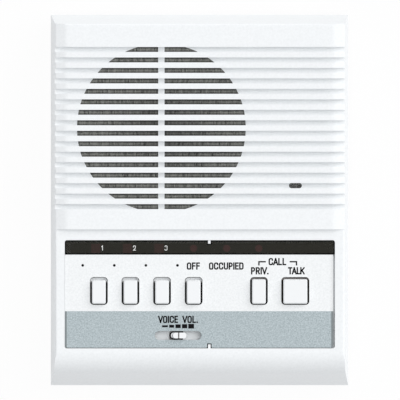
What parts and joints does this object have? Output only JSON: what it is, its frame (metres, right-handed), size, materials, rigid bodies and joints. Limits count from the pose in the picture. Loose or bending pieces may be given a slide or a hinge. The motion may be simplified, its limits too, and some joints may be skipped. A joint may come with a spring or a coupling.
{
  "type": "desk intercom master station",
  "caption": "Desk intercom master station: grooved casing with round loudspeaker grille, smoked lamp strip, push keys and a volume slide.",
  "frame": {"origin": "middle of the footprint at the underside of the rubber feet", "axes": "+Z out of the front face, +Y to the loudspeaker end, +X to the talk key"},
  "size_m": [0.1568, 0.1952, 0.0452],
  "materials": {
    "white_casing": "fine matt moulding",
    "white_keycap": "satin",
    "printed_panel": "white with a blue-grey lower band",
    "smoked_window": "smoked, gloss",
    "black_rubber": "matt",
    "black_plastic": "matt",
    "switch_plastic": "matt",
    "red_lens": "translucent red",
    "board": "laminate",
    "steel": "zinc plated",
    "spring_steel": "bright",
    "zinc_plate": "zinc plated",
    "laminated_iron": "varnished",
    "copper_winding": "enamelled wire",
    "capacitor_sleeve": "shrink sleeve",
    "aluminium": "plain",
    "resistor_body": "lacquered",
    "dark_cloth": "woven",
    "cone_paper": "pressed paper",
    "magnet": "ferrite",
    "tag_board": "laminate",
    "lead_insulation": "soft",
    "brass": "plated"
  },
  "bodies": {
    "casing": {"amplifier_chip": "black_plastic", "board_screws": "steel", "capacitors": "capacitor_sleeve", "control_panel": "printed_panel", "cover_screws": "steel", "dust_cap": "cone_paper", "front_cover": "white_casing", "heat_sink": "aluminium", "indicator_window": "smoked_window", "lamp_holder": "black_plastic", "latch_spring": "spring_steel", "main_board": "board", "mic_boot": "black_rubber", "mic_capsule": "aluminium", "mic_mesh": "spring_steel", "off_spring": "spring_steel", "pole_piece": "zinc_plate", "privacy_spring": "spring_steel", "push_switches": "switch_plastic", "rear_base": "white_casing", "resistors": "resistor_body", "rubber_feet": "black_rubber", "selector_switch": "switch_plastic", "speaker_clamps": "zinc_plate", "speaker_cloth": "dark_cloth", "speaker_cone": "cone_paper", "speaker_frame": "zinc_plate", "speaker_leads": "lead_insulation", "speaker_magnet": "magnet", "speaker_screws": "steel", "speaker_spider": "cone_paper", "speaker_tags": "tag_board", "station_1_spring": "spring_steel", "station_2_spring": "spring_steel", "station_3_spring": "spring_steel", "station_lamps": "red_lens", "status_lamps": "red_lens", "talk_spring": "spring_steel", "terminal_block": "switch_plastic", "terminal_screws": "brass", "top_plate": "zinc_plate", "transformer_core": "laminated_iron", "transformer_winding": "copper_winding", "voice_coil": "copper_winding", "volume_control": "steel"},
    "station_1_button": {"station_1_key": "white_keycap", "station_1_stem": "switch_plastic"},
    "station_2_button": {"station_2_key": "white_keycap", "station_2_stem": "switch_plastic"},
    "station_3_button": {"station_3_key": "white_keycap", "station_3_stem": "switch_plastic"},
    "off_button": {"off_key": "white_keycap", "off_stem": "switch_plastic"},
    "privacy_button": {"privacy_key": "white_keycap", "privacy_stem": "switch_plastic"},
    "talk_button": {"talk_key": "white_keycap", "talk_stem": "switch_plastic"},
    "volume_slider": {"volume_lever": "switch_plastic", "volume_knob": "white_keycap"},
    "latch": {"latch_bar": "spring_steel"}
  },
  "joints": [
    {"name": "station_1_press", "type": "slide", "parent": "casing", "child": "station_1_button", "axis": [0, 0, -1], "range_m": [0, 0.003], "stiffness_N_per_m": 300, "springref_m": -0.002, "deforming": ["station_1_spring"]},
    {"name": "station_2_press", "type": "slide", "parent": "casing", "child": "station_2_button", "axis": [0, 0, -1], "range_m": [0, 0.003], "stiffness_N_per_m": 300, "springref_m": -0.002, "deforming": ["station_2_spring"]},
    {"name": "station_3_press", "type": "slide", "parent": "casing", "child": "station_3_button", "axis": [0, 0, -1], "range_m": [0, 0.003], "stiffness_N_per_m": 300, "springref_m": -0.002, "deforming": ["station_3_spring"]},
    {"name": "off_press", "type": "slide", "parent": "casing", "child": "off_button", "axis": [0, 0, -1], "range_m": [0, 0.003], "stiffness_N_per_m": 300, "springref_m": -0.002, "deforming": ["off_spring"]},
    {"name": "privacy_press", "type": "slide", "parent": "casing", "child": "privacy_button", "axis": [0, 0, -1], "range_m": [0, 0.003], "stiffness_N_per_m": 300, "springref_m": -0.002, "deforming": ["privacy_spring"]},
    {"name": "talk_press", "type": "slide", "parent": "casing", "child": "talk_button", "axis": [0, 0, -1], "range_m": [0, 0.003], "stiffness_N_per_m": 300, "springref_m": -0.002, "deforming": ["talk_spring"]},
    {"name": "volume_slide", "type": "slide", "parent": "casing", "child": "volume_slider", "axis": [1, 0, 0], "range_m": [-0.0062, 0.0062]},
    {"name": "latch_shift", "type": "slide", "parent": "casing", "child": "latch", "axis": [-1, 0, 0], "range_m": [0, 0.0015], "stiffness_N_per_m": 200, "springref_m": -0.001}
  ]
}
